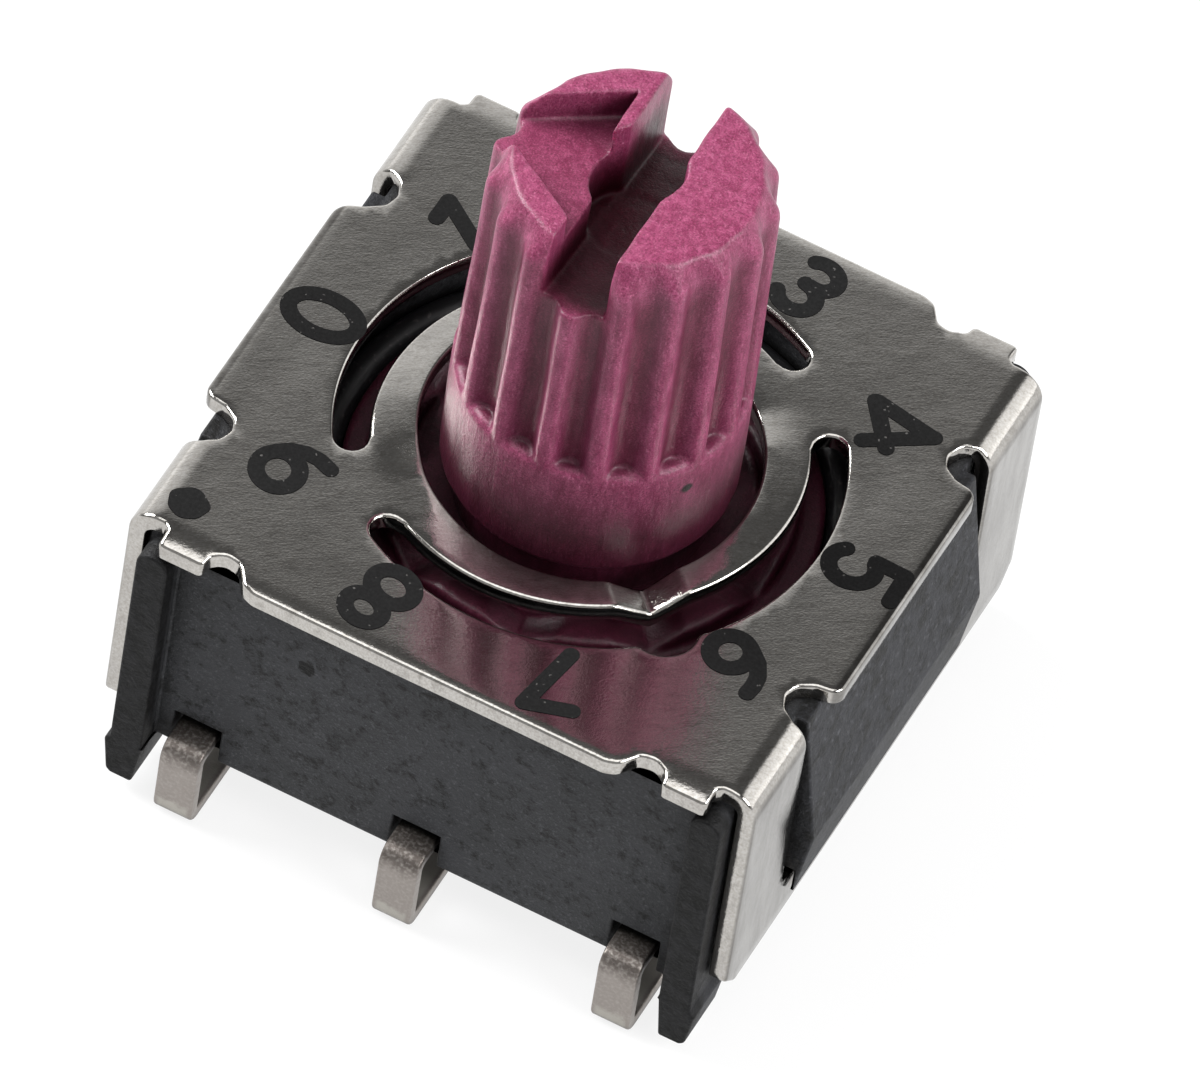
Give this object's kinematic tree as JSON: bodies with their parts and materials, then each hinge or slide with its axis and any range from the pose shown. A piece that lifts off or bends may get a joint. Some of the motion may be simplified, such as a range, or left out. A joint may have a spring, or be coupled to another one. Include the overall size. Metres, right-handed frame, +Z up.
{
  "type": "rotary coded switch",
  "caption": "Surface-mount rotary coded encoder with a long knurled shaft, sprung sheet-metal cover with detent ring, sealed housing and J-shaped solder pins.",
  "frame": {"origin": "on the shaft axis, in the plane of the solder feet", "axes": "+Z up along the shaft; -Y is the side with pins 1, C and 4, and the pin rows run along X"},
  "size_m": [0.0076, 0.0072, 0.0086],
  "materials": {
    "cover_steel": "bright rolled stainless spring sheet, satin",
    "housing_plastic": "moulded glass-filled thermoplastic, matt",
    "rotor_plastic": "moulded thermoplastic, magenta, satin",
    "contact_gold": "gold-plated copper alloy",
    "seal_rubber": "black nitrile rubber",
    "base_plastic": "moulded glass-filled thermoplastic, matt",
    "seal_resin": "poured epoxy, glossy",
    "lead_tin": "tin-plated copper alloy, satin"
  },
  "bodies": {
    "switch_body": {"spring_cover": "cover_steel", "housing": "housing_plastic", "o_ring": "seal_rubber", "contact_base": "base_plastic", "bottom_seal": "seal_resin", "lead_1": "lead_tin", "lead_2": "lead_tin", "lead_4": "lead_tin", "lead_8": "lead_tin", "lead_common": "lead_tin", "contact_spring_1": "contact_gold", "contact_spring_2": "contact_gold", "contact_spring_4": "contact_gold", "contact_spring_8": "contact_gold", "contact_spring_common": "contact_gold"},
    "rotor_body": {"rotor": "rotor_plastic", "code_disc": "contact_gold"}
  },
  "joints": [
    {"name": "rotor_turn", "type": "hinge", "parent": "switch_body", "child": "rotor_body", "pos_m": [0, 0, 0.00345], "axis": [0, 0, 1], "continuous": true}
  ]
}
